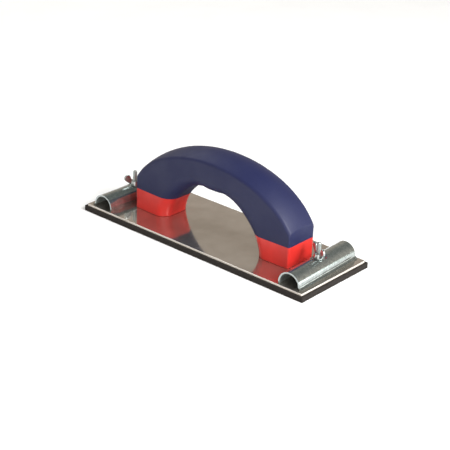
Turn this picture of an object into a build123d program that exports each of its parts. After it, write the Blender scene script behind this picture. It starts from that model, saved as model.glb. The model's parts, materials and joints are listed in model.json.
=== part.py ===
from build123d import *

import os
from math import sqrt

# A hand sanding block for painters and plasterers: a flat metal plate with a foam sole, an arched
# two-colour handle, and at each end a half-round clamp that a wing nut pulls down on the paper.
#
# Millimetres. X runs along the plate, Y across it, Z up. The origin is the centre of the sole's
# underside, so the block stands on Z = 0.

# ---------------------------------------------------------------- driving dimensions

# Plate, film and sole
plate_length = 230.0
plate_width = 80.0
plate_thickness = 1.5
plate_corner = 0.8
film_thickness = 0.2
pad_thickness = 4.4
pad_length = 234.3
pad_width = 83.4
pad_corner = 0.5
plate_bottom = pad_thickness + film_thickness
plate_top = plate_bottom + plate_thickness

# Handle: heights are measured from the plate's top
foot_end = 82.0
foot_width = 31.0
grip_width = 34.0
crease_centre = 8.5
crease_reach = 88.0
crease_rise = 54.6
crown_middle = 5.3
crown_end = 2.6
crown_spare = 1.5
crease_radius = 3.0
corner_radius = 1.6
foot_chamfer = 0.4
opening_radius = 10.0
opening_foot = 48.6
opening_top = 37.9
opening_curve = [(1.4, 7.5), (4.2, 14.2), (9.4, 21.6), (16.1, 28.4), (23.0, 33.6), (30.2, 37.0), (37.4, 38.6)]
parting_height = 17.7
sleeve_thickness = 3.0
section_count = 9
loft_reach = 83.6

# Hollow in each foot, with its screw bosses
foot_centre = 66.5
hollow_length = 24.0
hollow_width = 24.0
hollow_height = 13.0
hollow_corner = 4.0
boss_radius = 3.6
boss_spacing = 14.0
web_thickness = 1.8

# Self-tapping screws that hold the handle, driven up through the plate
screw_radius = 1.95
screw_length = 12.5
screw_tip = 2.0
screw_tip_inward = 1.5
screw_head_radius = 3.8
screw_head_height = 2.0
recess_length = 4.2
recess_width = 1.0
recess_depth = 1.1
end_chamfer = 0.5

# Clamp at each end, M4 stud and its hardware
stud_x = 98.9
stud_radius = 1.96
stud_reach = 23.6
stud_head_radius = 4.0
stud_head_height = 1.8
thread_clearance = 0.06
hole_clearance = 0.12
lock_nut_flats = 7.0
lock_nut_height = 3.2
lock_nut_chamfer = 0.4
clamp_length = 75.0
clamp_radius = 9.8
clamp_height = 11.6
clamp_sheet = 1.2
clamp_hole_radius = 2.35
lip_radius = 1.6
lip_length = 0.5
seat_height = 9.4
seat_length = 10.8
seat_width = 10.2
seat_corner = 4.6
dimple_length = 19.0
dimple_width = 13.4
dimple_corner = 6.4
dimple_edge = 0.8
right_clamp_turn = 2.5
washer_radius = 4.5
washer_hole = 2.15
washer_thickness = 0.8
spring_radius = 4.9
spring_wire = 0.35
spring_turns = 4.5
spring_gap = 0.02

# M4 wing nut
hub_base_radius = 4.0
hub_top_radius = 3.5
hub_height = 4.6
wing_tip_radius = 3.0
wing_tip_reach = 7.0
wing_tip_height = 7.5
wing_root_radius = 1.3
wing_root_reach = 3.2
wing_root_height = 2.2
wing_thickness = 1.7
wing_round = 0.5
left_wing_angle = 68.0
right_wing_angle = 152.0

# Pocket in the sole over each screw head
pocket_gap = 0.4

os.makedirs("parts", exist_ok=True)

sides = {"left": -1, "right": 1}
stud_places = [(-stud_x, 0), (stud_x, 0)]
screw_places = [(x, y) for x in (-foot_centre, foot_centre) for y in (-boss_spacing / 2, boss_spacing / 2)]
seat_top = plate_top + seat_height
nut_bottom = seat_top + washer_thickness


def finish(part, name):
    """Labels a piece and writes it under its own name."""
    part.label = name
    export_step(part, f"parts/{name}.step")


# ---------------------------------------------------------------- plate, film and sole

with BuildPart() as base_plate:
    with BuildSketch(Plane.XY.offset(plate_bottom)):
        RectangleRounded(plate_length, plate_width, plate_corner)
        with Locations(*stud_places):
            Circle(stud_radius + hole_clearance, mode=Mode.SUBTRACT)
        with Locations(*screw_places):
            Circle(screw_radius + hole_clearance, mode=Mode.SUBTRACT)
    extrude(amount=plate_thickness)
finish(base_plate.part, "base_plate")

with BuildPart() as adhesive_film:
    with BuildSketch(Plane.XY.offset(pad_thickness)):
        RectangleRounded(plate_length, plate_width, plate_corner)
        with Locations(*stud_places):
            Circle(stud_head_radius + pocket_gap, mode=Mode.SUBTRACT)
        with Locations(*screw_places):
            Circle(screw_head_radius + pocket_gap, mode=Mode.SUBTRACT)
    extrude(amount=film_thickness)
finish(adhesive_film.part, "adhesive_film")

# The sole is a little larger than the plate, and the screw heads sink into its top.
with BuildPart() as foam_pad:
    with BuildSketch():
        RectangleRounded(pad_length, pad_width, pad_corner)
    extrude(amount=pad_thickness)
    with BuildSketch(Plane.XY.offset(pad_thickness)):
        with Locations(*stud_places):
            Circle(stud_head_radius + pocket_gap)
    extrude(amount=-(stud_head_height + pocket_gap - film_thickness), mode=Mode.SUBTRACT)
    with BuildSketch(Plane.XY.offset(pad_thickness)):
        with Locations(*screw_places):
            Circle(screw_head_radius + pocket_gap)
    extrude(amount=-(screw_head_height + pocket_gap - film_thickness), mode=Mode.SUBTRACT)
finish(foam_pad.part, "foam_pad")


# ---------------------------------------------------------------- handle


def crease_height(x, inset):
    """Height of the long edge between a side face and the crowned top, on an ellipse."""
    reach = crease_reach - inset
    rise = crease_rise - inset
    return plate_top + crease_centre + rise * sqrt(1 - (x / reach) ** 2)


def toward_end(x, middle, end):
    """A size that changes smoothly from the middle of the handle to its ends."""
    return middle + (end - middle) * (x / foot_end) ** 2


def crown_section(x, inset):
    """Upright section at x under the crowned top, a little wider than the handle is there."""
    half = toward_end(x, grip_width, foot_width) / 2 - inset
    rise = toward_end(x, crown_middle, crown_end)
    crown = crease_height(x, inset) + rise
    arc_radius = (half**2 + rise**2) / (2 * rise)
    edge = half + crown_spare
    edge_height = crown - arc_radius + sqrt(arc_radius**2 - edge**2)
    with BuildSketch(Plane.YZ.offset(x)) as section:
        with BuildLine():
            Polyline((-edge, edge_height), (-edge, plate_top), (edge, plate_top), (edge, edge_height))
            ThreePointArc((edge, edge_height), (0, crown), (-edge, edge_height))
        make_face()
    return section.sketch


def handle_plan(inset):
    """The handle seen from above: slightly barrelled sides and square ends."""
    end = foot_end - inset
    narrow = foot_width / 2 - inset
    wide = grip_width / 2 - inset
    with BuildSketch(Plane.XY.offset(plate_top)) as plan:
        with BuildLine():
            ThreePointArc((-end, narrow), (0, wide), (end, narrow))
            Line((end, narrow), (end, -narrow))
            ThreePointArc((end, -narrow), (0, -wide), (-end, -narrow))
            Line((-end, -narrow), (-end, narrow))
        make_face()
    return plan.sketch


def handle_opening(inset):
    """The finger opening seen from the side. Its top swells down a little mid-way."""
    foot = opening_foot + inset
    top = plate_top + inset
    with BuildSketch(Plane.XZ.offset(-grip_width)) as opening:
        with BuildLine():
            wall = [(foot - inward, top + height) for inward, height in opening_curve]
            Spline((foot, plate_top), *wall, (0, top + opening_top), tangents=[(0, 1), (-1, 0)])
            mirror(about=Plane.YZ)
            Line((-foot, plate_top), (foot, plate_top))
        make_face()
    return opening.sketch


def handle_body(inset):
    """The handle's outer shape, or the same shape drawn in by an inset all round."""
    stations = [loft_reach * (2 * i / (section_count - 1) - 1) for i in range(section_count)]
    sections = [crown_section(x, inset) for x in stations]
    plan = handle_plan(inset)
    opening = handle_opening(inset)
    with BuildPart() as body:
        loft(sections=sections)
        extrude(to_extrude=plan, amount=2 * crease_rise, mode=Mode.INTERSECT)
        creases = body.faces().sort_by(Axis.Z)[-1].edges().sort_by(SortBy.LENGTH)[-2:]
        fillet(creases, crease_radius - inset / 2)
        ends = body.faces().filter_by(GeomType.PLANE).filter_by(Axis.X)
        fillet(ends.edges().filter_by(lambda e: e.center().Z > plate_top + 1), corner_radius - inset / 4)
        extrude(to_extrude=opening, amount=2 * grip_width, mode=Mode.SUBTRACT)
        middle_faces = body.faces().filter_by(lambda f: abs(f.center().X) + abs(f.center().Y) < 1)
        wall_edges = middle_faces.sort_by(Axis.Z)[0].edges()
        fillet(wall_edges.filter_by(GeomType.LINE, reverse=True), opening_radius - inset / 2)
    return body.part


outer_shape = handle_body(0)
core_shape = handle_body(sleeve_thickness)
parting_plane = Plane.XY.offset(plate_top + parting_height)

# The core is one moulding: both feet at full size, and a slimmer arch that the sleeve wraps.
with BuildPart() as handle_core:
    add(outer_shape)
    split(bisect_by=parting_plane, keep=Keep.BOTTOM)
    chamfer(handle_core.edges().group_by(Axis.Z)[0], foot_chamfer)
    add(core_shape)
    with BuildSketch(Plane.XY.offset(plate_top)):
        with Locations((-foot_centre, 0), (foot_centre, 0)):
            RectangleRounded(hollow_length, hollow_width, hollow_corner)
            Rectangle(web_thickness, hollow_width, mode=Mode.SUBTRACT)
        with Locations(*screw_places):
            Circle(boss_radius, mode=Mode.SUBTRACT)
    extrude(amount=hollow_height, mode=Mode.SUBTRACT)
    with BuildSketch(Plane.XY.offset(plate_top)):
        with Locations(*screw_places):
            Circle(screw_radius + thread_clearance)
    extrude(amount=screw_length, mode=Mode.SUBTRACT)
finish(handle_core.part, "handle_core")

with BuildPart() as grip_sleeve:
    add(outer_shape)
    split(bisect_by=parting_plane, keep=Keep.TOP)
    add(core_shape, mode=Mode.SUBTRACT)
finish(grip_sleeve.part, "grip_sleeve")


# ---------------------------------------------------------------- screws from below


def screw(x, y, head_radius, head_height, shank_radius, top, tip, tip_inward):
    """A screw whose head lies under the plate, with a cross recess in the head."""
    head_bottom = plate_bottom - head_height
    with BuildPart() as body:
        with BuildSketch(Plane(origin=(x, y, 0), x_dir=(1, 0, 0), z_dir=(0, -1, 0))):
            with BuildLine():
                Polyline(
                    (0, head_bottom),
                    (head_radius - end_chamfer, head_bottom),
                    (head_radius, head_bottom + end_chamfer),
                    (head_radius, plate_bottom),
                    (shank_radius, plate_bottom),
                    (shank_radius, top - tip),
                    (shank_radius - tip_inward, top),
                    (0, top),
                    close=True,
                )
            make_face()
        revolve(axis=Axis((x, y, 0), (0, 0, 1)))
        with BuildSketch(Plane.XY.offset(head_bottom)):
            with Locations((x, y)):
                Rectangle(recess_length, recess_width)
                Rectangle(recess_width, recess_length)
        extrude(amount=recess_depth, mode=Mode.SUBTRACT)
    return body.part


screw_names = ["left_front_screw", "left_back_screw", "right_front_screw", "right_back_screw"]
for name, (x, y) in zip(screw_names, screw_places):
    top = plate_bottom + screw_length
    made = screw(x, y, screw_head_radius, screw_head_height, screw_radius, top, screw_tip, screw_tip_inward)
    finish(made, name)

for name, (x, y) in zip(sides, stud_places):
    top = plate_top + stud_reach
    made = screw(x, y, stud_head_radius, stud_head_height, stud_radius, top, end_chamfer, end_chamfer)
    finish(made, f"{name}_stud")


# ---------------------------------------------------------------- clamps

clamp_end = Plane(origin=(stud_x, clamp_length / 2, plate_top), x_dir=(1, 0, 0), z_dir=(0, -1, 0))
lip_end = clamp_radius + lip_radius + lip_length


def clamp_profile(thickness, foot):
    """One skin of the clamp seen from its end: an upright leg, a half-round top and a flared foot."""
    radius = clamp_radius - thickness
    shoulder = clamp_height - clamp_radius
    bend_end = (clamp_radius + lip_radius, clamp_sheet - thickness)
    with BuildSketch(clamp_end) as profile:
        with BuildLine():
            Line((-radius, 0), (-radius, shoulder))
            ThreePointArc((-radius, shoulder), (0, shoulder + radius), (radius, shoulder))
            Line((radius, shoulder), (radius, clamp_sheet + lip_radius))
            RadiusArc((radius, clamp_sheet + lip_radius), bend_end, -lip_radius - thickness)
            Polyline(bend_end, *foot, (-radius, 0))
        make_face()
    return profile.sketch


def dimple(growth):
    """The pressed seat in the top of the clamp, or the same shape grown by the sheet's thickness."""
    with BuildPart() as pressing:
        with BuildSketch(Plane.XY.offset(plate_top + seat_height - growth)):
            with Locations((stud_x, 0)):
                RectangleRounded(seat_width + 2 * growth, seat_length + 2 * growth, seat_corner + growth)
        with BuildSketch(Plane.XY.offset(plate_top + clamp_height + clamp_sheet - growth)):
            with Locations((stud_x, 0)):
                RectangleRounded(dimple_width + 2 * growth, dimple_length + 2 * growth, dimple_corner + growth)
        loft()
    return pressing.part


with BuildPart() as clamp_inside:
    extrude(to_extrude=clamp_profile(clamp_sheet, []), amount=clamp_length)
    add(dimple(clamp_sheet), mode=Mode.SUBTRACT)

# The abrasive sheet's ends are gripped between the legs of this clamp and the plate.
with BuildPart() as clamp:
    extrude(to_extrude=clamp_profile(0, [(lip_end, clamp_sheet), (lip_end, 0)]), amount=clamp_length)
    add(dimple(0), mode=Mode.SUBTRACT)
    seat_rim = clamp.faces().filter_by(Plane.XY).group_by(Axis.Z)[-1].edges()
    fillet(seat_rim, dimple_edge)
    add(clamp_inside.part, mode=Mode.SUBTRACT)
    with BuildSketch(Plane.XY.offset(plate_top)):
        with Locations((stud_x, 0)):
            Circle(clamp_hole_radius)
    extrude(amount=clamp_height, mode=Mode.SUBTRACT)

# The right clamp is tightened down a little askew, as its hole leaves it free to be.
right_clamp = clamp.part.rotate(Axis((stud_x, 0, 0), (0, 0, 1)), right_clamp_turn)
finish(right_clamp, "right_clamp")

with BuildPart() as left_clamp:
    mirror(clamp.part, about=Plane.YZ)
finish(left_clamp.part, "left_clamp")


# ---------------------------------------------------------------- nuts, washers and springs


def lock_nut(x):
    """Hexagon nut that fixes the stud to the plate, with its corners turned off at both ends."""
    corner = lock_nut_flats / sqrt(3)
    with BuildPart() as nut:
        with Locations((x, 0, plate_top)):
            Cylinder(corner, lock_nut_height, align=(Align.CENTER, Align.CENTER, Align.MIN))
        chamfer(nut.edges().filter_by(GeomType.CIRCLE), lock_nut_chamfer)
        with BuildSketch(Plane.XY.offset(plate_top)):
            with Locations((x, 0)):
                RegularPolygon(corner, 6)
        extrude(amount=lock_nut_height, mode=Mode.INTERSECT)
        with BuildSketch(Plane.XY.offset(plate_top)):
            with Locations((x, 0)):
                Circle(stud_radius + thread_clearance)
        extrude(amount=lock_nut_height, mode=Mode.SUBTRACT)
    return nut.part


def spring(x):
    """Light coil spring round the lock nut that lifts the clamp as the wing nut is slackened."""
    low = plate_top + spring_wire + spring_gap
    high = seat_top - clamp_sheet - spring_wire - spring_gap
    with BuildPart() as coil:
        with BuildLine(Plane((x, 0, low))) as centre_line:
            Helix((high - low) / spring_turns, high - low, spring_radius)
        with BuildSketch(Plane(centre_line.line @ 0, z_dir=centre_line.line % 0)):
            Circle(spring_wire)
        sweep()
    return coil.part


def washer(x):
    """Flat washer between the clamp's seat and the wing nut."""
    with BuildPart() as ring:
        with BuildSketch(Plane.XY.offset(seat_top)):
            with Locations((x, 0)):
                Circle(washer_radius)
                Circle(washer_hole, mode=Mode.SUBTRACT)
        extrude(amount=washer_thickness)
    return ring.part


def wing_nut(x, angle):
    """Wing nut with a tapered hub and two rounded ears that lean outward and up."""
    with BuildPart() as nut:
        for turn in (angle, angle + 180):
            outward = Vector(1, 0, 0).rotate(Axis.Z, turn)
            across = outward.cross(Vector(0, 0, 1))
            with BuildSketch(Plane(origin=(x, 0, nut_bottom), x_dir=outward, z_dir=across)) as ear:
                with Locations((wing_tip_reach, wing_tip_height)):
                    Circle(wing_tip_radius)
                with Locations((wing_root_reach, wing_root_height)):
                    Circle(wing_root_radius)
                make_hull(ear.edges())
            extrude(amount=wing_thickness / 2, both=True)
        fillet(nut.edges().filter_by(lambda e: e.length > wing_thickness + wing_round), wing_round)
        with Locations((x, 0, nut_bottom)):
            Cone(hub_base_radius, hub_top_radius, hub_height, align=(Align.CENTER, Align.CENTER, Align.MIN))
            Cylinder(
                stud_radius + thread_clearance,
                hub_height,
                align=(Align.CENTER, Align.CENTER, Align.MIN),
                mode=Mode.SUBTRACT,
            )
    return nut.part


wing_angles = {"left": left_wing_angle, "right": right_wing_angle}
for name, (x, y) in zip(sides, stud_places):
    finish(lock_nut(x), f"{name}_lock_nut")
    finish(spring(x), f"{name}_spring")
    finish(washer(x), f"{name}_washer")
    finish(wing_nut(x, wing_angles[name]), f"{name}_wing_nut")
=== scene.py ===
# %% [markdown]
# # A hand sanding block
#
# The block is a metal plate on a foam sole, with an arched two-colour handle
# and a half-round clamp at each end that holds the abrasive strip. The shapes
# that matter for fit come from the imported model. This file adds the finishes
# and the pieces that want more detail than a working model has.

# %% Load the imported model
import json
import math

import bmesh
import bpy
from mathutils import Matrix, Quaternion, Vector, noise


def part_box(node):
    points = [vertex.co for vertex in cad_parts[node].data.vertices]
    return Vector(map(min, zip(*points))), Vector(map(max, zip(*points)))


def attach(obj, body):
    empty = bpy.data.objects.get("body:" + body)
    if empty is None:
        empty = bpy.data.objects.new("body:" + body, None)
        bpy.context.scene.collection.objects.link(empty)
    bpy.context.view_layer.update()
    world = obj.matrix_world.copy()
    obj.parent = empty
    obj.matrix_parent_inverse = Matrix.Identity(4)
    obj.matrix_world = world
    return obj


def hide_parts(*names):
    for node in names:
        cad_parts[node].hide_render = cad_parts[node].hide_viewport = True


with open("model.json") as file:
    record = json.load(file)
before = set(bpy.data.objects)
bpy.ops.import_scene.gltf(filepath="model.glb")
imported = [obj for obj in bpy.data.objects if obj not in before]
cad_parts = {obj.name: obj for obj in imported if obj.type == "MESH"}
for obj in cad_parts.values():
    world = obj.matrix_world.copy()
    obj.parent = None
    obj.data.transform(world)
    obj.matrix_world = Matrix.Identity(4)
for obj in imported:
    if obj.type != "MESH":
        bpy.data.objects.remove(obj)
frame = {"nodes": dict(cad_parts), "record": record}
bpy.context.view_layer.update()
nodes = frame["nodes"]
MM = 0.001
SIDES = {"left": -1, "right": 1}

# %% [markdown]
# ## Small helpers for finishes
#
# A finish here is a short chain: a pattern in millimetres, a band that turns
# the pattern into a colour or a roughness, and a bump. It could be wired by
# hand in the shader editor, but a few helpers keep each finish to a few
# readable lines. The patterns run on Object coordinates, so they stay on the
# piece when it moves.

# %% Helpers for finishes
def add_node(tree, kind, inputs, **settings):
    """Adds one shader node; a socket is linked and any other value is set."""
    made = tree.nodes.new("ShaderNode" + kind)
    for name, value in settings.items():
        setattr(made, name, value)
    for socket, value in inputs.items():
        if isinstance(value, bpy.types.NodeSocket):
            tree.links.new(value, made.inputs[socket])
        else:
            made.inputs[socket].default_value = value
    return made


def start_finish(name, constants):
    """A new finish, its shader, and its coordinates in millimetres."""
    finish = bpy.data.materials.new(name)
    finish.use_nodes = True
    tree = finish.node_tree
    shader = tree.nodes["Principled BSDF"]
    for socket, value in constants.items():
        shader.inputs[socket].default_value = value
    place = add_node(tree, "TexCoord", {}).outputs["Object"]
    in_mm = add_node(tree, "Mapping", {"Vector": place, "Scale": (1 / MM,) * 3})
    return finish, tree, shader, in_mm.outputs["Vector"]


def cloudy(tree, place, scale, detail=3.0, stretch=(1, 1, 1)):
    """Soft cloudy noise; the scale is in blotches per millimetre."""
    laid = add_node(tree, "Mapping", {"Vector": place, "Scale": stretch})
    made = add_node(tree, "TexNoise", {"Vector": laid.outputs["Vector"],
                                       "Scale": scale, "Detail": detail})
    return made.outputs["Fac"]


def band(tree, value, low, high, start=0.35, end=0.65):
    """Turns a pattern into a number between low and high."""
    made = add_node(tree, "MapRange", {"Value": value, "From Min": start,
                                       "From Max": end, "To Min": low, "To Max": high})
    return made.outputs["Result"]


def colour_band(tree, value, low, high, start=0.35, end=0.65):
    """Turns a pattern into a colour between low and high."""
    made = add_node(tree, "ValToRGB", {"Fac": value})
    stops = made.color_ramp.elements
    for stop, position, colour in zip(stops, (start, end), (low, high)):
        stop.position = position
        stop.color = (*colour, 1)
    return made.outputs["Color"]


def blend(tree, share, first, second):
    """Mixes two colours by a pattern: the first at 0 and the second at 1."""
    made = add_node(tree, "Mix", {0: share, 6: first, 7: second}, data_type="RGBA")
    return made.outputs[2]


def bump(tree, height, depth, strength=1.0, under=None):
    """Raises the surface by a pattern, up to a depth in millimetres."""
    inputs = {"Height": height, "Distance": depth * MM, "Strength": strength}
    if under is not None:
        inputs["Normal"] = under
    return add_node(tree, "Bump", inputs).outputs["Normal"]


def wire(tree, shader, links):
    """Connects patterns to the shader's sockets."""
    for socket, value in links.items():
        tree.links.new(value, shader.inputs[socket])


# %% [markdown]
# ## The plate's finish
#
# The plate is bright rolled sheet. It mirrors the handle's feet, a little
# blurred. A real one has long rolling lines, faint finger smudges that change
# the roughness, and a few fine scratches. A plain mirror would look like
# glass, so the roughness wanders and the lines are a very shallow bump. The
# cut edge is duller and barely metallic, and its pale cream colour is a
# painted highlight along the edge.

# %% Plate finish
def upward(tree):
    """1 on faces that look up or down and 0 on upright ones, such as a cut edge."""
    facing = add_node(tree, "NewGeometry", {}).outputs["Normal"]
    height = add_node(tree, "SeparateXYZ", {"Vector": facing}).outputs["Z"]
    flat = add_node(tree, "Math", {0: height}, operation="ABSOLUTE").outputs["Value"]
    return band(tree, flat, 0.0, 1.0, 0.3, 0.7)


def plate_finish():
    finish, tree, shader, place = start_finish("bright_rolled_sheet", {})
    smudges = cloudy(tree, place, 0.06, 4.0)
    rolling = cloudy(tree, place, 1.0, 2.0, stretch=(0.02, 2.2, 1.0))
    scratches = cloudy(tree, place, 1.0, 1.0, stretch=(0.05, 6.0, 1.0))
    fine = bump(tree, rolling, 0.004, 0.35)
    rolled = upward(tree)
    face = colour_band(tree, smudges, (0.54, 0.50, 0.45), (0.61, 0.57, 0.52))
    # painted highlight: the cut edge's pale cream colour stands in for the light it catches; its
    # duller, less metallic finish is real
    edge = colour_band(tree, scratches, (0.74, 0.69, 0.63), (0.86, 0.81, 0.75))
    wire(tree, shader, {
        "Base Color": blend(tree, rolled, edge, face),
        "Metallic": band(tree, rolled, 0.15, 0.93, 0.0, 1.0),
        "Roughness": band(tree, smudges, 0.13, 0.07),
        "Normal": bump(tree, scratches, 0.002, 0.25, under=fine)})
    return finish


# %% [markdown]
# ## The zinc finishes
#
# The clamps, studs and wing nuts are zinc plated. Zinc plate is greyer and
# slightly greener than chrome. It has a faint spangle of cells, fine draw
# marks from the press, and dull patches where it has been handled. One recipe
# with a few numbers makes all the zinc pieces, so they belong together. The
# inner side of a clamp's half-round is duller than the outer side. Both are
# one skin of one mesh, so a sum tells them apart: the inner side is where the
# surface faces the axis of the half-round.

# %% Zinc finishes
stud_low, stud_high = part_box("right_stud")
STUD_X = round((stud_low.x + stud_high.x) / 2 / MM, 2)   # from the middle, in mm
CLAMP_AXIS_Z = 7.9   # height of the axis of a clamp's half-round, in mm
BORE_ROUGHNESS = 0.6
print("studs stand", STUD_X, "mm from the middle")


def maths(tree, operation, first, second=0.0):
    """One step of arithmetic on a number."""
    made = add_node(tree, "Math", {0: first, 1: second}, operation=operation)
    return made.outputs["Value"]


def under_curve(tree, place):
    """The roughness of the dull inner side of a clamp's half-round, or else 0."""
    along = add_node(tree, "SeparateXYZ", {"Vector": place}).outputs["X"]
    stud_x = maths(tree, "MULTIPLY", maths(tree, "SIGN", along), STUD_X)
    axis = add_node(tree, "CombineXYZ", {"X": stud_x, "Z": CLAMP_AXIS_Z}).outputs["Vector"]
    outward = add_node(tree, "VectorMath", {0: place, 1: axis}, operation="SUBTRACT")
    level = add_node(tree, "VectorMath", {0: outward.outputs["Vector"], 1: (1, 0, 1)},
                     operation="MULTIPLY")
    facing = add_node(tree, "NewGeometry", {}).outputs["Normal"]
    turned_out = add_node(tree, "VectorMath", {0: level.outputs["Vector"], 1: facing},
                          operation="DOT_PRODUCT")
    return band(tree, turned_out.outputs["Value"], BORE_ROUGHNESS, 0.0, -2.0, 0.0)


def zinc_finish(name, dark, light, roughness, spangle, lines=(0.15, 1.0, 1.0), bored=False):
    """Zinc plate between two greys; the spangle is in cells per millimetre."""
    finish, tree, shader, place = start_finish(name, {"Metallic": 0.93})
    cells = add_node(tree, "TexVoronoi", {"Vector": place, "Scale": spangle,
                                          "Randomness": 1.0})
    patches = cloudy(tree, place, 0.25, 4.0)
    drawn = cloudy(tree, place, 2.0, 3.0, stretch=lines)
    mixed = add_node(tree, "Math", {0: patches, 1: cells.outputs["Distance"]},
                     operation="MULTIPLY_ADD")
    mixed.inputs[2].default_value = 0.25
    dents = bump(tree, patches, 0.02, 0.06)
    gloss = band(tree, patches, roughness[1], roughness[0])
    if bored:
        gloss = maths(tree, "MAXIMUM", gloss, under_curve(tree, place))
    wire(tree, shader, {
        "Base Color": colour_band(tree, mixed.outputs["Value"], dark, light, 0.25, 0.75),
        "Roughness": gloss,
        "Normal": bump(tree, drawn, 0.002, 0.2, under=dents)})
    return finish


# %% [markdown]
# ## The handle's two plastics
#
# The feet and core are a hard red plastic with a soft gloss. Thick sections
# sink slightly as they cool, so the gloss wanders. The grip is a soft navy
# rubber moulded over the core. It is nearly matt, with a fine even texture
# from the mould and a little dust. Both get fine grain as a bump.

# %% Handle finishes
def red_finish():
    finish, tree, shader, place = start_finish("moulded_red_plastic",
                                               {"Specular IOR Level": 0.5})
    sinks = cloudy(tree, place, 0.07, 2.0)
    grain = cloudy(tree, place, 4.0, 2.0)
    shallow = bump(tree, sinks, 0.35, 0.5)
    wire(tree, shader, {
        "Base Color": colour_band(tree, sinks, (0.55, 0.022, 0.017), (0.64, 0.028, 0.022)),
        "Roughness": band(tree, sinks, 0.42, 0.30),
        "Normal": bump(tree, grain, 0.01, 0.35, under=shallow)})
    return finish


def navy_finish():
    finish, tree, shader, place = start_finish("navy_soft_grip",
                                               {"Specular IOR Level": 0.42})
    clouds = cloudy(tree, place, 0.05, 3.0)
    grain = cloudy(tree, place, 3.0, 3.0)
    dust = cloudy(tree, place, 1.6, 6.0)
    soft = bump(tree, clouds, 0.4, 0.4)
    dusty = colour_band(tree, dust, (0.0060, 0.0090, 0.052), (0.012, 0.016, 0.066), 0.45, 0.8)
    wire(tree, shader, {
        "Base Color": dusty,
        "Roughness": band(tree, clouds, 0.50, 0.62),
        "Normal": bump(tree, grain, 0.03, 0.45, under=soft)})
    return finish


# %% [markdown]
# ## The sole's foam and its film
#
# The sole is a dense closed-cell foam, nearly black. Its edges were cut with
# a knife, which leaves slanting drag marks, and the cut opens some of the
# cells. A cell pattern gives the pores and a stretched, tilted noise gives
# the drag. The film that glues it on shows only as a pale line.

# %% Foam and film finishes
def foam_finish():
    finish, tree, shader, place = start_finish("closed_cell_foam",
                                               {"Specular IOR Level": 0.3})
    cells = add_node(tree, "TexVoronoi", {"Vector": place, "Scale": 2.2})
    drag = add_node(tree, "Mapping", {"Vector": place, "Rotation": (0.0, 0.7, 0.5),
                                      "Scale": (1.6, 1.6, 0.25)})
    marks = cloudy(tree, drag.outputs["Vector"], 1.0, 3.0)
    pores = bump(tree, cells.outputs["Distance"], 0.12, 0.5)
    wire(tree, shader, {
        "Base Color": colour_band(tree, marks, (0.008, 0.0060, 0.0045),
                                  (0.024, 0.019, 0.016)),
        "Roughness": band(tree, marks, 0.75, 0.92),
        "Normal": bump(tree, marks, 0.25, 0.6, under=pores)})
    return finish


def film_finish():
    finish, tree, shader, place = start_finish("adhesive_film", {})
    cloud = cloudy(tree, place, 0.4, 3.0)
    wire(tree, shader, {
        "Base Color": colour_band(tree, cloud, (0.50, 0.46, 0.38), (0.68, 0.63, 0.54)),
        "Roughness": band(tree, cloud, 0.4, 0.6),
        "Normal": bump(tree, cloud, 0.01, 0.3)})
    return finish


# %% [markdown]
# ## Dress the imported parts
#
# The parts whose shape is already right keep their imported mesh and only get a
# finish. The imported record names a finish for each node, so one table from
# that name to a finish dresses them all.

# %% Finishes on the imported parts
bare_zinc = ((0.40, 0.43, 0.42), (0.50, 0.53, 0.52))
finishes = {
    "plate": plate_finish(),
    "film": film_finish(),
    "foam": foam_finish(),
    "red_plastic": red_finish(),
    "blue_rubber": navy_finish(),
    "screw_steel": zinc_finish("screw_zinc", *bare_zinc, (0.28, 0.42), 1.2),
    "zinc_stud": zinc_finish("stud_zinc", (0.46, 0.50, 0.49), (0.56, 0.60, 0.59),
                             (0.28, 0.4), 1.5),
    "zinc_hardware": zinc_finish("washer_zinc", *bare_zinc, (0.2, 0.35), 1.2),
    "spring_wire": zinc_finish("drawn_wire", *bare_zinc, (0.2, 0.3), 1.0, (0.1, 4.0, 4.0)),
    "zinc_sheet": zinc_finish("zinc_sheet", (0.29, 0.325, 0.318), (0.45, 0.49, 0.48),
                              (0.12, 0.22), 0.45, bored=True),
    "zinc_wing": zinc_finish("wing_zinc", (0.44, 0.48, 0.47), (0.54, 0.58, 0.57),
                             (0.24, 0.36), 0.8),
}
slot_of = {part["node"]: part["material_slot"] for part in frame["record"]["subparts"]}
for name, part in nodes.items():
    part.data.materials.clear()
    part.data.materials.append(finishes[slot_of[name]])
print(len(finishes), "finishes on", len(nodes), "parts")

# %% [markdown]
# ## Helpers for new pieces
#
# A new piece starts as a bmesh, takes its finish from the part that it stands
# for, and rides on the same body. Edges sharper than the given angle stay crisp
# and the rest are shaded smooth.

# %% Helpers for new pieces
def as_piece(name, shape, body, stands_for, crisp=32):
    """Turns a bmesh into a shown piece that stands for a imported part."""
    bmesh.ops.remove_doubles(shape, verts=shape.verts, dist=0.0005 * MM)
    bmesh.ops.recalc_face_normals(shape, faces=shape.faces)
    mesh = bpy.data.meshes.new(name)
    shape.to_mesh(mesh)
    shape.free()
    mesh.shade_smooth()
    mesh.set_sharp_from_angle(angle=math.radians(crisp))
    piece = bpy.data.objects.new(name, mesh)
    bpy.context.scene.collection.objects.link(piece)
    mesh.materials.append(finishes[slot_of[stands_for]])
    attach(piece, body)
    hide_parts(stands_for)
    print(name, "has", len(mesh.polygons), "faces, for", stands_for)
    return piece


def turned(shape, outline, x, y, steps=48):
    """Spins a closed outline of (radius, height) points in mm round a post."""
    corners = [shape.verts.new((x + radius * MM, y, height * MM))
               for radius, height in outline]
    loop = [shape.edges.new(pair) for pair in zip(corners, corners[1:] + corners[:1])]
    bmesh.ops.spin(shape, geom=corners + loop, cent=(x, y, 0), axis=(0, 0, 1),
                   angle=math.tau, steps=steps, use_merge=True)
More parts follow.
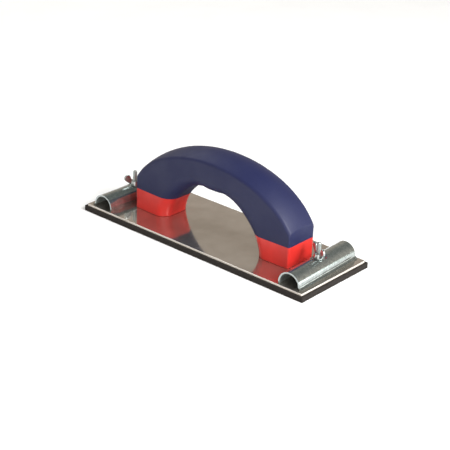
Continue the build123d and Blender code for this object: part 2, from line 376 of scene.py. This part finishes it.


# %% [markdown]
# ## The foam sole
#
# The real sole is a slab cut from sheet foam, a little larger than the plate.
# A knife-cut edge is never quite straight and it has fine drag lines, so the
# wall is made as a stack of thin loops that each wander by a tenth of a
# millimetre. The slab starts as one flat face with rounded corners. It is
# extruded upwards in steps, and then the wall's points are pushed in a little.
# Dense foam this thin doesn't bulge.

# %% Foam sole
SOLE_CORNER = 0.5 * MM
SOLE_LAYERS = 10
SOLE_STEP = 0.8 * MM
EDGE_WANDER = 0.08 * MM
WANDER_SCALE = 90        # waves per metre
DRAG_DEPTH = 0.14 * MM
DRAG_SCALE = 750
DRAG_SLANT = 0.6
DRAG_STRETCH = 0.12      # below 1 draws the marks out upwards
LONG_EDGE = 10 * MM


def edge_cut(place):
    """How deep the knife's marks are at one point of the wall."""
    slow = noise.noise(place * WANDER_SCALE)
    lean = DRAG_SLANT * place.z
    slant = Vector((place.x + lean, place.y + lean, place.z * DRAG_STRETCH))
    drag = noise.noise(slant * DRAG_SCALE)
    return EDGE_WANDER * (0.5 + 0.5 * slow) + DRAG_DEPTH * (0.5 + 0.5 * drag)


def foam_sole():
    low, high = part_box("foam_pad")
    size, middle = high - low, (low + high) / 2
    slab = bmesh.new()
    bmesh.ops.create_grid(slab, x_segments=1, y_segments=1, size=0.5)
    bmesh.ops.scale(slab, verts=slab.verts, vec=(size.x, size.y, 1))
    bmesh.ops.translate(slab, verts=slab.verts, vec=(middle.x, middle.y, low.z))
    bmesh.ops.bevel(slab, geom=slab.verts[:], affect="VERTICES", offset=SOLE_CORNER,
                    segments=5, profile=0.5, material=-1)
    for edge in [e for e in slab.edges if e.calc_length() > LONG_EDGE]:
        bmesh.ops.subdivide_edges(slab, edges=[edge],
                                  cuts=int(edge.calc_length() / SOLE_STEP))
    for layer in range(SOLE_LAYERS):
        top = [f for f in slab.faces if len(f.verts) > 4
               and f.calc_center_median().z > low.z + (layer - 0.5) * size.z / SOLE_LAYERS]
        risen = bmesh.ops.extrude_face_region(slab, geom=top)
        lifted = [v for v in risen["geom"] if isinstance(v, bmesh.types.BMVert)]
        bmesh.ops.translate(slab, verts=lifted, vec=(0, 0, size.z / SOLE_LAYERS))
    for vert in slab.verts:
        # 1 or -1 on the two walls that the point lies on or beside, and 0 elsewhere
        outward = Vector((round(vert.co.x / size.x * 2.02), round(vert.co.y / size.y * 2.06), 0))
        vert.co -= outward.normalized() * edge_cut(vert.co)
    sole = as_piece("foam_sole", slab, "block", "foam_pad", crisp=50)
    return sole


foam_sole()

# %% [markdown]
# ## The threaded studs
#
# Each clamp is pulled down by a wing nut on a fixed M4 stud. The thread is
# what says "stud" to the eye, so it is real geometry and not a bump: one small
# ridge is spun round the post while it climbs by the pitch on each turn. The
# post inside it and the flat head under the plate are turned shapes.

# %% Threaded studs
PITCH = 0.7
THREAD_STEPS = 20        # steps in one turn of the thread
POST_RADIUS = 1.62
CREST_RADIUS = 1.96
HEAD_RADIUS = 4.0
HEAD_HEIGHT = 1.8
HEAD_EDGE = 0.2          # chamfer of the head
TIP_INWARD, TIP_TALL = 0.4, 0.5
RIDGE_SUNK = 0.1         # the ridge starts this far inside the post
RIDGE_RISE = (0.0, 0.27, 0.37, 0.64)
CLEAR_OF_HEAD, CLEAR_OF_TIP = 0.2, 0.35


def stud(side):
    low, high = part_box(f"{side}_stud")
    x = (low.x + high.x) / 2
    bottom, top = low.z / MM, high.z / MM
    shape = bmesh.new()
    shoulder = bottom + HEAD_HEIGHT
    turned(shape, [(0, bottom), (HEAD_RADIUS - HEAD_EDGE, bottom),
                   (HEAD_RADIUS, bottom + HEAD_EDGE), (HEAD_RADIUS, shoulder - HEAD_EDGE),
                   (HEAD_RADIUS - HEAD_EDGE, shoulder), (POST_RADIUS, shoulder),
                   (POST_RADIUS, top - TIP_TALL), (POST_RADIUS - TIP_INWARD, top),
                   (0, top)], x, 0)
    start = shoulder + CLEAR_OF_HEAD
    turns = int((top - CLEAR_OF_TIP - start) / PITCH) - 1
    root = POST_RADIUS - RIDGE_SUNK
    corners = [shape.verts.new((x + radius * MM, 0, (start + rise) * MM))
               for radius, rise in zip((root, CREST_RADIUS, CREST_RADIUS, root), RIDGE_RISE)]
    face = shape.faces.new(corners)
    bmesh.ops.spin(shape, geom=[face], cent=(x, 0, 0), axis=(0, 0, 1),
                   dvec=(0, 0, PITCH * MM / THREAD_STEPS),
                   angle=math.tau * turns, steps=THREAD_STEPS * turns)
    return as_piece(f"{side}_threaded_stud", shape, "block", f"{side}_stud", crisp=30)


for side in SIDES:
    stud(side)

# %% [markdown]
# ## The wing nuts
#
# A wing nut is a small cast or pressed hub with two ears. Each ear is the
# hull of a large round tip and a small round root, with its rims rounded off.
# The hull operator makes that from a few circles. A fine voxel remesh then
# melts the ears into the hub, and smoothing leaves the soft inside corners
# that a casting has.

# %% Wing nuts
HUB_LOW, HUB_HIGH, BORE = 4.0, 3.5, 2.0   # radii in mm
HUB_HEIGHT = 4.6
HUB_EDGE, HUB_TOP_EDGE = 0.3, 0.4
EAR_TIP = (7.0, 7.5, 3.0)                 # reach, rise and radius in mm
EAR_ROOT = (3.2, 2.2, 1.3)
EAR_THICK = 1.7
EAR_RINGS = ((0.5, 0.5), (0.4, 0.17), (0.25, 0.0), (-0.25, 0.0), (-0.4, 0.17), (-0.5, 0.5))
WING_ANGLE = {"left": 68, "right": 152}
CAST_VOXEL = 0.22 * MM
CAST_ROUNDS = 4                           # rounds of smoothing


def ear(shape, centre, angle):
    """One ear: the hull of stacked circles, standing out at an angle."""
    placed = []
    for reach, rise, radius in (EAR_TIP, EAR_ROOT):
        for across, shrink in EAR_RINGS:
            ring = bmesh.ops.create_circle(
                shape, segments=24, radius=(radius - shrink) * MM,
                matrix=Matrix.Translation((reach * MM, across * EAR_THICK * MM, rise * MM))
                @ Matrix.Rotation(math.pi / 2, 4, "X"))
            placed += ring["verts"]
    hull = bmesh.ops.convex_hull(shape, input=placed)
    spare = [v for v in hull["geom_interior"] + hull["geom_unused"]
             if isinstance(v, bmesh.types.BMVert)]
    bmesh.ops.delete(shape, geom=list(set(spare)), context="VERTS")
    kept = [v for v in placed if v.is_valid]
    bmesh.ops.transform(shape, verts=kept,
                        matrix=Matrix.Translation(centre) @ Matrix.Rotation(angle, 4, "Z"))


def melted(shape, voxel, rounds):
    """Fuses overlapping shells into one skin and softens its corners."""
    rough = bpy.data.meshes.new("rough")
    shape.to_mesh(rough)
    shape.free()
    holder = bpy.data.objects.new("rough", rough)
    bpy.context.scene.collection.objects.link(holder)
    skin = holder.modifiers.new("skin", "REMESH")
    skin.mode, skin.voxel_size = "VOXEL", voxel
    ready = holder.evaluated_get(bpy.context.evaluated_depsgraph_get())
    fused = bmesh.new()
    fused.from_mesh(ready.to_mesh())
    ready.to_mesh_clear()
    bpy.data.objects.remove(holder)
    bpy.data.meshes.remove(rough)
    for _ in range(rounds):
        bmesh.ops.smooth_vert(fused, verts=fused.verts, factor=0.5,
                              use_axis_x=True, use_axis_y=True, use_axis_z=True)
    return fused


def wing_nut(side):
    washer_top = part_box(f"{side}_washer")[1].z
    x = SIDES[side] * STUD_X * MM
    seat = washer_top / MM
    crown = seat + HUB_HEIGHT
    shape = bmesh.new()
    turned(shape, [(BORE, seat + HUB_EDGE), (BORE + HUB_EDGE, seat), (HUB_LOW - HUB_EDGE, seat),
                   (HUB_LOW, seat + HUB_EDGE), (HUB_HIGH, crown - HUB_TOP_EDGE),
                   (HUB_HIGH - HUB_TOP_EDGE, crown), (BORE + HUB_EDGE, crown),
                   (BORE, crown - HUB_EDGE)], x, 0)
    angle = math.radians(WING_ANGLE[side])
    for half_turn in (0, math.pi):
        ear(shape, (x, 0, washer_top), angle + half_turn)
    cast = melted(shape, CAST_VOXEL, CAST_ROUNDS)
    return as_piece(f"{side}_cast_wing_nut", cast, f"{side}_nut", f"{side}_wing_nut", crisp=60)


for side in SIDES:
    wing_nut(side)

# %% [markdown]
# ## The floor
#
# The block stands on a plain pale floor, which lights the underside of the
# arch and shows as white lines in the metal. A real sweep of paper would curve
# up behind the block. One large flat sheet does the same here, because the
# camera looks down and never sees its far edge. A faint glow keeps the far
# part as white as the near part.

# %% Floor
FLOOR_DROP = 0.05 * MM   # keeps the floor clear of the sole's underside


def plain_floor():
    shape = bmesh.new()
    bmesh.ops.create_grid(shape, x_segments=8, y_segments=8, size=2.5)
    bmesh.ops.translate(shape, verts=shape.verts, vec=(0, 0, -FLOOR_DROP))
    mesh = bpy.data.meshes.new("floor")
    shape.to_mesh(mesh)
    shape.free()
    floor = bpy.data.objects.new("floor", mesh)
    bpy.context.scene.collection.objects.link(floor)
    finish, tree, shader, place = start_finish(
        "pale_floor", {"Roughness": 0.9, "Emission Color": (1, 1, 1, 1),
                       "Emission Strength": 0.07})
    paper = cloudy(tree, place, 0.02, 3.0)
    wire(tree, shader, {"Base Color": colour_band(tree, paper, (0.90, 0.90, 0.90),
                                                  (0.92, 0.92, 0.92))})
    mesh.materials.append(finish)
    print("floor", [round(side, 2) for side in floor.dimensions], "m")


plain_floor()

# %% [markdown]
# ## The lights
#
# Soft studio light comes from large square lamps, and metal shows each of them
# as a reflection, so their places matter more than their power. A large one on
# the right shapes the handle, and two weaker ones from the front and the left
# fill its shadows. A small card low behind the right end draws the bright
# stripe along the foot of the clamp. Sun lamps would be simpler, but their
# shadows are too hard.

# %% Lights
def soft_light(name, azimuth, elevation, distance, size, power, colour=(1, 1, 1)):
    """A square soft light that looks at the block from the given angles."""
    az, el = math.radians(azimuth), math.radians(elevation)
    away = Vector((math.sin(az) * math.cos(el), -math.cos(az) * math.cos(el), math.sin(el)))
    lamp = bpy.data.lights.new(name, "AREA")
    lamp.size, lamp.energy, lamp.color = size, power, colour
    holder = bpy.data.objects.new(name, lamp)
    holder.location = away * distance
    holder.rotation_mode = "QUATERNION"
    holder.rotation_quaternion = away.to_track_quat("Z", "Y")
    bpy.context.scene.collection.objects.link(holder)
    print(name, "light,", power, "W, at", [round(value, 2) for value in holder.location])


soft_light("key", azimuth=92, elevation=38, distance=1.6, size=0.9, power=44)
soft_light("fill", azimuth=35, elevation=22, distance=1.8, size=1.2, power=10)
soft_light("left", azimuth=262, elevation=42, distance=1.8, size=1.0, power=9)
soft_light("card", azimuth=134, elevation=4.5, distance=1.6, size=0.24, power=0.9,
           colour=(0.92, 1.0, 0.98))

# %% [markdown]
# ## The surroundings
#
# The bright plate mirrors whatever stands round the block, so the world is part
# of its finish. It is a warm mid grey low down and a darker, cooler grey
# overhead, blended by height. Real walls and a ceiling would give the same
# reflections with more work.

# %% Surroundings
WARM_LOW, GREY_HIGH = (0.60, 0.525, 0.45), (0.17, 0.185, 0.175)
surroundings = bpy.data.worlds.new("surroundings")
surroundings.use_nodes = True
around = surroundings.node_tree
sky = around.nodes["Background"]
direction = add_node(around, "TexCoord", {}).outputs["Generated"]
height = add_node(around, "SeparateXYZ", {"Vector": direction}).outputs["Z"]
shade = colour_band(around, height, WARM_LOW, GREY_HIGH, 0.36, 0.72)
around.links.new(shade, sky.inputs["Color"])
sky.inputs["Strength"].default_value = 0.9
bpy.context.scene.world = surroundings
bpy.context.scene.view_settings.view_transform = "Standard"
bpy.context.scene.view_settings.look = "None"
print("surroundings from", WARM_LOW, "to", GREY_HIGH)

# %% [markdown]
# ## The camera
#
# The camera stands a metre away and looks down at the front right corner with
# a long lens, so the far end of the plate is only a little smaller than the
# near end. It is placed by its angles round the block, which are easier to
# think in than a position, and it is tipped a little, as a hand-held one is.

# %% Camera
AIM = Vector((0, 0, 20 * MM))
CAMERA_AZIMUTH, CAMERA_ELEVATION, CAMERA_ROLL = (
    math.radians(angle) for angle in (40.44, 24.77, 2.24))
CAMERA_DISTANCE = 1030.85 * MM
CAMERA_SHIFT = (2.73 * MM, -7.82 * MM)   # in the camera's own right and up

back = Vector((math.sin(CAMERA_AZIMUTH) * math.cos(CAMERA_ELEVATION),
               -math.cos(CAMERA_AZIMUTH) * math.cos(CAMERA_ELEVATION),
               math.sin(CAMERA_ELEVATION)))
turn = back.to_track_quat("Z", "Y") @ Quaternion((0, 0, 1), CAMERA_ROLL)
camera = bpy.data.objects.new("camera", bpy.data.cameras.new("camera"))
camera.data.lens, camera.data.sensor_width = 101.97, 36.0   # both in mm
camera.data.clip_start, camera.data.clip_end = 0.05, 20.0   # in metres
camera.rotation_mode = "QUATERNION"
camera.rotation_quaternion = turn
camera.location = AIM + back * CAMERA_DISTANCE + turn @ Vector((*CAMERA_SHIFT, 0))
bpy.context.scene.collection.objects.link(camera)
bpy.context.scene.camera = camera
print("camera at", [round(value, 3) for value in camera.location])

# %% [markdown]
# ## Update the scene
#
# The scene's placements are brought up to date.

# %% Update the scene
bpy.context.view_layer.update()
